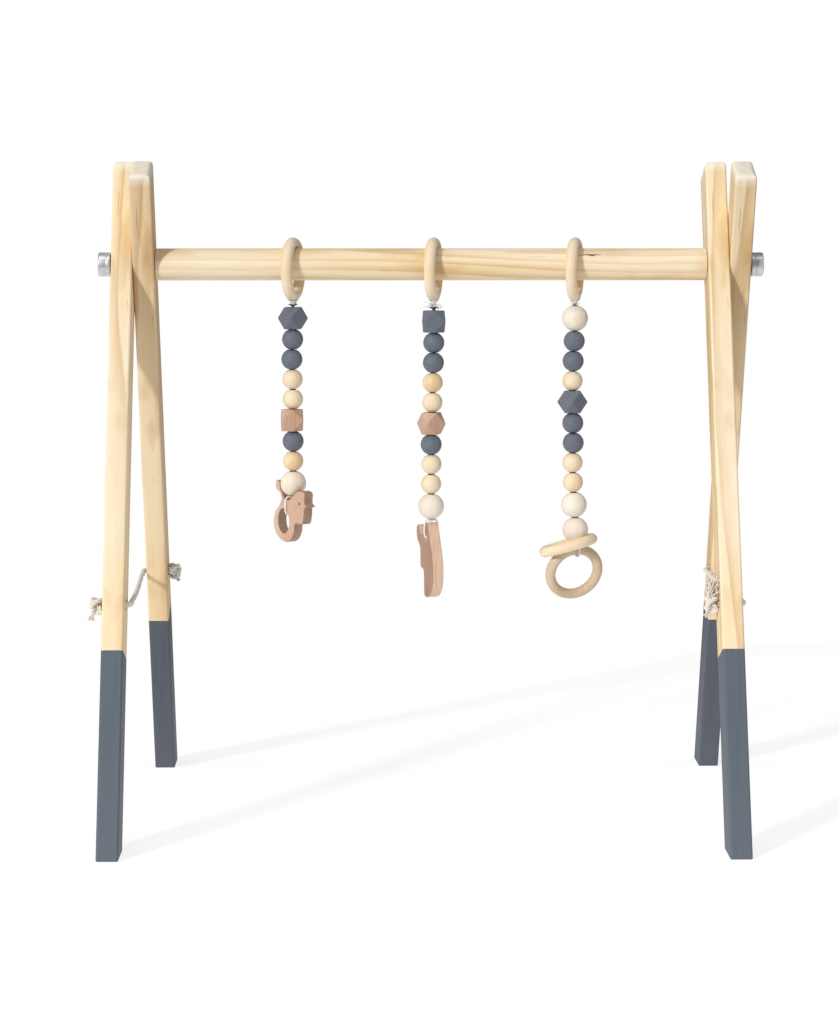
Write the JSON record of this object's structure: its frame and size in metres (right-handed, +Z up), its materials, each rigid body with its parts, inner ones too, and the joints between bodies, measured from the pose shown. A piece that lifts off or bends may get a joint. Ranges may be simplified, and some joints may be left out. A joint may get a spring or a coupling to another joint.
{
  "type": "activity play gym",
  "caption": "Wooden baby activity gym: two rope-tied A-frames on a round crossbar, with hanging strings of wood and silicone beads, teethers and rings.",
  "frame": {"origin": "on the floor, under the middle of the crossbar", "axes": "+X along the crossbar, to the right seen from the front; +Y to the back; +Z up"},
  "size_m": [0.6262, 0.4628, 0.6156],
  "materials": {
    "pine": "sanded pine, clear oiled; slate-grey water paint dipped on the lowest part of each leg",
    "maple": "smooth turned and oiled",
    "beech": "smooth oiled beech with fine flecks",
    "natural_wood_bead": "smooth turned and waxed",
    "white_wood_bead": "smooth, whitewashed",
    "grey_silicone": "matte slate-grey silicone",
    "aluminium": "fine turned satin",
    "dark_steel": "dark oxide",
    "brass": "turned",
    "cotton_rope": "three-strand twisted cotton",
    "thread": "braided white cord"
  },
  "bodies": {
    "crossbar": {"crossbar_dowel": "pine", "left_threaded_insert": "brass", "right_threaded_insert": "brass"},
    "left_cap": {"left_cap_bolt": "aluminium", "left_washer": "dark_steel"},
    "right_cap": {"right_cap_bolt": "aluminium", "right_washer": "dark_steel"},
    "left_front_leg": {"left_outer_leg": "pine", "left_outer_rope_knot": "cotton_rope", "left_rope": "cotton_rope"},
    "left_back_leg": {"left_inner_leg": "pine", "left_inner_rope_knot": "cotton_rope"},
    "right_front_leg": {"right_inner_leg": "pine", "right_inner_rope_knot": "cotton_rope", "right_rope": "cotton_rope"},
    "right_back_leg": {"right_outer_leg": "pine", "right_outer_rope_knot": "cotton_rope"},
    "toy_1_ring": {"toy_1_hanger_ring": "maple"},
    "toy_1_loop": {"toy_1_hanging_loop": "thread"},
    "toy_1_top_bead": {"toy_1_bead_1": "grey_silicone"},
    "toy_1_strand": {"toy_1_bead_thread": "thread", "toy_1_squirrel_teether": "beech"},
    "toy_1_bead_2": {"toy_1_bead_2": "grey_silicone"},
    "toy_1_bead_3": {"toy_1_bead_3": "grey_silicone"},
    "toy_1_bead_4": {"toy_1_bead_4": "natural_wood_bead"},
    "toy_1_bead_5": {"toy_1_bead_5": "natural_wood_bead"},
    "toy_1_bead_6": {"toy_1_bead_6": "beech"},
    "toy_1_bead_7": {"toy_1_bead_7": "grey_silicone"},
    "toy_1_bead_8": {"toy_1_bead_8": "natural_wood_bead"},
    "toy_1_bead_9": {"toy_1_bead_9": "white_wood_bead"},
    "toy_2_ring": {"toy_2_hanger_ring": "maple"},
    "toy_2_loop": {"toy_2_hanging_loop": "thread"},
    "toy_2_top_bead": {"toy_2_bead_1": "grey_silicone"},
    "toy_2_strand": {"toy_2_bead_thread": "thread", "toy_2_elephant_teether": "beech"},
    "toy_2_bead_2": {"toy_2_bead_2": "grey_silicone"},
    "toy_2_bead_3": {"toy_2_bead_3": "grey_silicone"},
    "toy_2_bead_4": {"toy_2_bead_4": "natural_wood_bead"},
    "toy_2_bead_5": {"toy_2_bead_5": "natural_wood_bead"},
    "toy_2_bead_6": {"toy_2_bead_6": "beech"},
    "toy_2_bead_7": {"toy_2_bead_7": "grey_silicone"},
    "toy_2_bead_8": {"toy_2_bead_8": "natural_wood_bead"},
    "toy_2_bead_9": {"toy_2_bead_9": "natural_wood_bead"},
    "toy_2_bead_10": {"toy_2_bead_10": "white_wood_bead"},
    "toy_3_ring": {"toy_3_hanger_ring": "maple"},
    "toy_3_loop": {"toy_3_hanging_loop": "thread"},
    "toy_3_top_bead": {"toy_3_bead_1": "white_wood_bead"},
    "toy_3_strand": {"toy_3_bead_thread": "thread"},
    "toy_3_bead_2": {"toy_3_bead_2": "grey_silicone"},
    "toy_3_bead_3": {"toy_3_bead_3": "grey_silicone"},
    "toy_3_bead_4": {"toy_3_bead_4": "natural_wood_bead"},
    "toy_3_bead_5": {"toy_3_bead_5": "grey_silicone"},
    "toy_3_bead_6": {"toy_3_bead_6": "grey_silicone"},
    "toy_3_bead_7": {"toy_3_bead_7": "grey_silicone"},
    "toy_3_bead_8": {"toy_3_bead_8": "natural_wood_bead"},
    "toy_3_bead_9": {"toy_3_bead_9": "natural_wood_bead"},
    "toy_3_bead_10": {"toy_3_bead_10": "white_wood_bead"},
    "toy_3_bead_11": {"toy_3_bead_11": "white_wood_bead"},
    "toy_3_lower_ring": {"toy_3_lower_ring": "maple"},
    "toy_3_upper_ring": {"toy_3_upper_ring": "maple"}
  },
  "joints": [
    {"name": "left_cap_turn", "type": "hinge", "parent": "crossbar", "child": "left_cap", "pos_m": [-0.3, 0, 0.51922], "axis": [1, 0, 0], "continuous": true},
    {"name": "left_frame_turn", "type": "hinge", "parent": "crossbar", "child": "left_front_leg", "pos_m": [-0.28, 0, 0.51922], "axis": [1, 0, 0], "continuous": true},
    {"name": "left_fold", "type": "hinge", "parent": "left_front_leg", "child": "left_back_leg", "pos_m": [-0.28, 0, 0.51922], "axis": [-1, 0, 0], "range_deg": [0, 30], "deforming": ["left_rope"]},
    {"name": "right_cap_turn", "type": "hinge", "parent": "crossbar", "child": "right_cap", "pos_m": [0.3, 0, 0.51922], "axis": [1, 0, 0], "continuous": true},
    {"name": "right_frame_turn", "type": "hinge", "parent": "crossbar", "child": "right_front_leg", "pos_m": [0.28, 0, 0.51922], "axis": [1, 0, 0], "continuous": true},
    {"name": "right_fold", "type": "hinge", "parent": "right_front_leg", "child": "right_back_leg", "pos_m": [0.28, 0, 0.51922], "axis": [-1, 0, 0], "range_deg": [0, 30], "deforming": ["right_rope"]},
    {"name": "toy_1_slide", "type": "slide", "parent": "crossbar", "child": "toy_1_ring", "axis": [1, 0, 0], "range_m": [-0.03, 0.03]},
    {"name": "toy_1_swing", "type": "hinge", "parent": "toy_1_ring", "child": "toy_1_loop", "pos_m": [-0.1303, 0, 0.51452], "axis": [0.9744, -0.225, 0], "range_deg": [-40, 40]},
    {"name": "toy_1_sway", "type": "hinge", "parent": "toy_1_loop", "child": "toy_1_top_bead", "pos_m": [-0.1303, 0, 0.48952], "axis": [-0.225, -0.9744, 0], "range_deg": [-12, 12]},
    {"name": "toy_1_twist", "type": "hinge", "parent": "toy_1_top_bead", "child": "toy_1_strand", "pos_m": [-0.1307, 0, 0.4791], "axis": [0, 0, 1], "continuous": true},
    {"name": "toy_1_bead_2_spin", "type": "hinge", "parent": "toy_1_strand", "child": "toy_1_bead_2", "pos_m": [-0.131, 0, 0.4487], "axis": [0, 0, 1], "continuous": true},
    {"name": "toy_1_bead_3_spin", "type": "hinge", "parent": "toy_1_strand", "child": "toy_1_bead_3", "pos_m": [-0.1318, 0, 0.4298], "axis": [0, 0, 1], "continuous": true},
    {"name": "toy_1_bead_4_spin", "type": "hinge", "parent": "toy_1_strand", "child": "toy_1_bead_4", "pos_m": [-0.1313, 0, 0.41095], "axis": [0, 0, 1], "continuous": true},
    {"name": "toy_1_bead_5_spin", "type": "hinge", "parent": "toy_1_strand", "child": "toy_1_bead_5", "pos_m": [-0.131, 0, 0.39215], "axis": [0, 0, 1], "continuous": true},
    {"name": "toy_1_bead_6_spin", "type": "hinge", "parent": "toy_1_strand", "child": "toy_1_bead_6", "pos_m": [-0.1319, 0, 0.3722], "axis": [0, 0, 1], "continuous": true},
    {"name": "toy_1_bead_7_spin", "type": "hinge", "parent": "toy_1_strand", "child": "toy_1_bead_7", "pos_m": [-0.131, 0, 0.3522], "axis": [0, 0, 1], "continuous": true},
    {"name": "toy_1_bead_8_spin", "type": "hinge", "parent": "toy_1_strand", "child": "toy_1_bead_8", "pos_m": [-0.131, 0, 0.33335], "axis": [0, 0, 1], "continuous": true},
    {"name": "toy_1_bead_9_spin", "type": "hinge", "parent": "toy_1_strand", "child": "toy_1_bead_9", "pos_m": [-0.131, 0, 0.3119], "axis": [0, 0, 1], "continuous": true},
    {"name": "toy_2_slide", "type": "slide", "parent": "crossbar", "child": "toy_2_ring", "axis": [1, 0, 0], "range_m": [-0.03, 0.03]},
    {"name": "toy_2_swing", "type": "hinge", "parent": "toy_2_ring", "child": "toy_2_loop", "pos_m": [0.0022, 0, 0.51452], "axis": [0.9854, -0.1702, 0], "range_deg": [-40, 40]},
    {"name": "toy_2_sway", "type": "hinge", "parent": "toy_2_loop", "child": "toy_2_top_bead", "pos_m": [0.0022, 0, 0.48952], "axis": [-0.1702, -0.9854, 0], "range_deg": [-12, 12]},
    {"name": "toy_2_twist", "type": "hinge", "parent": "toy_2_top_bead", "child": "toy_2_strand", "pos_m": [0.0024, 0, 0.4758], "axis": [0, 0, 1], "continuous": true},
    {"name": "toy_2_bead_2_spin", "type": "hinge", "parent": "toy_2_strand", "child": "toy_2_bead_2", "pos_m": [0.0024, 0, 0.4454], "axis": [0, 0, 1], "continuous": true},
    {"name": "toy_2_bead_3_spin", "type": "hinge", "parent": "toy_2_strand", "child": "toy_2_bead_3", "pos_m": [0.0021, 0, 0.4265], "axis": [0, 0, 1], "continuous": true},
    {"name": "toy_2_bead_4_spin", "type": "hinge", "parent": "toy_2_strand", "child": "toy_2_bead_4", "pos_m": [0.0014, 0, 0.40765], "axis": [0, 0, 1], "continuous": true},
    {"name": "toy_2_bead_5_spin", "type": "hinge", "parent": "toy_2_strand", "child": "toy_2_bead_5", "pos_m": [0.0011, 0, 0.38885], "axis": [0, 0, 1], "continuous": true},
    {"name": "toy_2_bead_6_spin", "type": "hinge", "parent": "toy_2_strand", "child": "toy_2_bead_6", "pos_m": [0.0001, 0, 0.3689], "axis": [0, 0, 1], "continuous": true},
    {"name": "toy_2_bead_7_spin", "type": "hinge", "parent": "toy_2_strand", "child": "toy_2_bead_7", "pos_m": [0, 0, 0.3489], "axis": [0, 0, 1], "continuous": true},
    {"name": "toy_2_bead_8_spin", "type": "hinge", "parent": "toy_2_strand", "child": "toy_2_bead_8", "pos_m": [0.0002, 0, 0.33005], "axis": [0, 0, 1], "continuous": true},
    {"name": "toy_2_bead_9_spin", "type": "hinge", "parent": "toy_2_strand", "child": "toy_2_bead_9", "pos_m": [0, 0, 0.31125], "axis": [0, 0, 1], "continuous": true},
    {"name": "toy_2_bead_10_spin", "type": "hinge", "parent": "toy_2_strand", "child": "toy_2_bead_10", "pos_m": [0, 0, 0.2898], "axis": [0, 0, 1], "continuous": true},
    {"name": "toy_3_slide", "type": "slide", "parent": "crossbar", "child": "toy_3_ring", "axis": [1, 0, 0], "range_m": [-0.03, 0.03]},
    {"name": "toy_3_swing", "type": "hinge", "parent": "toy_3_ring", "child": "toy_3_loop", "pos_m": [0.1356, 0, 0.51452], "axis": [0.9781, -0.2079, 0], "range_deg": [-40, 40]},
    {"name": "toy_3_sway", "type": "hinge", "parent": "toy_3_loop", "child": "toy_3_top_bead", "pos_m": [0.1356, 0, 0.48952], "axis": [-0.2079, -0.9781, 0], "range_deg": [-12, 12]},
    {"name": "toy_3_twist", "type": "hinge", "parent": "toy_3_top_bead", "child": "toy_3_strand", "pos_m": [0.1361, 0, 0.4803], "axis": [0, 0, 1], "continuous": true},
    {"name": "toy_3_bead_2_spin", "type": "hinge", "parent": "toy_3_strand", "child": "toy_3_bead_2", "pos_m": [0.1354, 0, 0.4469], "axis": [0, 0, 1], "continuous": true},
    {"name": "toy_3_bead_3_spin", "type": "hinge", "parent": "toy_3_strand", "child": "toy_3_bead_3", "pos_m": [0.1345, 0, 0.428], "axis": [0, 0, 1], "continuous": true},
    {"name": "toy_3_bead_4_spin", "type": "hinge", "parent": "toy_3_strand", "child": "toy_3_bead_4", "pos_m": [0.134, 0, 0.40915], "axis": [0, 0, 1], "continuous": true},
    {"name": "toy_3_bead_5_spin", "type": "hinge", "parent": "toy_3_strand", "child": "toy_3_bead_5", "pos_m": [0.134, 0, 0.3892], "axis": [0, 0, 1], "continuous": true},
    {"name": "toy_3_bead_6_spin", "type": "hinge", "parent": "toy_3_strand", "child": "toy_3_bead_6", "pos_m": [0.1345, 0, 0.3692], "axis": [0, 0, 1], "continuous": true},
    {"name": "toy_3_bead_7_spin", "type": "hinge", "parent": "toy_3_strand", "child": "toy_3_bead_7", "pos_m": [0.135, 0, 0.3503], "axis": [0, 0, 1], "continuous": true},
    {"name": "toy_3_bead_8_spin", "type": "hinge", "parent": "toy_3_strand", "child": "toy_3_bead_8", "pos_m": [0.1345, 0, 0.33145], "axis": [0, 0, 1], "continuous": true},
    {"name": "toy_3_bead_9_spin", "type": "hinge", "parent": "toy_3_strand", "child": "toy_3_bead_9", "pos_m": [0.1349, 0, 0.31265], "axis": [0, 0, 1], "continuous": true},
    {"name": "toy_3_bead_10_spin", "type": "hinge", "parent": "toy_3_strand", "child": "toy_3_bead_10", "pos_m": [0.1361, 0, 0.2912], "axis": [0, 0, 1], "continuous": true},
    {"name": "toy_3_bead_11_spin", "type": "hinge", "parent": "toy_3_strand", "child": "toy_3_bead_11", "pos_m": [0.1375, 0, 0.2671], "axis": [0, 0, 1], "continuous": true},
    {"name": "toy_3_lower_ring_turn", "type": "hinge", "parent": "toy_3_strand", "child": "toy_3_lower_ring", "pos_m": [0.13711, 0.008, 0.22575], "axis": [0.2582, -0.9004, -0.3502], "continuous": true},
    {"name": "toy_3_upper_ring_lift", "type": "slide", "parent": "toy_3_strand", "child": "toy_3_upper_ring", "axis": [0.1952, -0.0976, 0.9759], "range_m": [0, 0.045]}
  ]
}
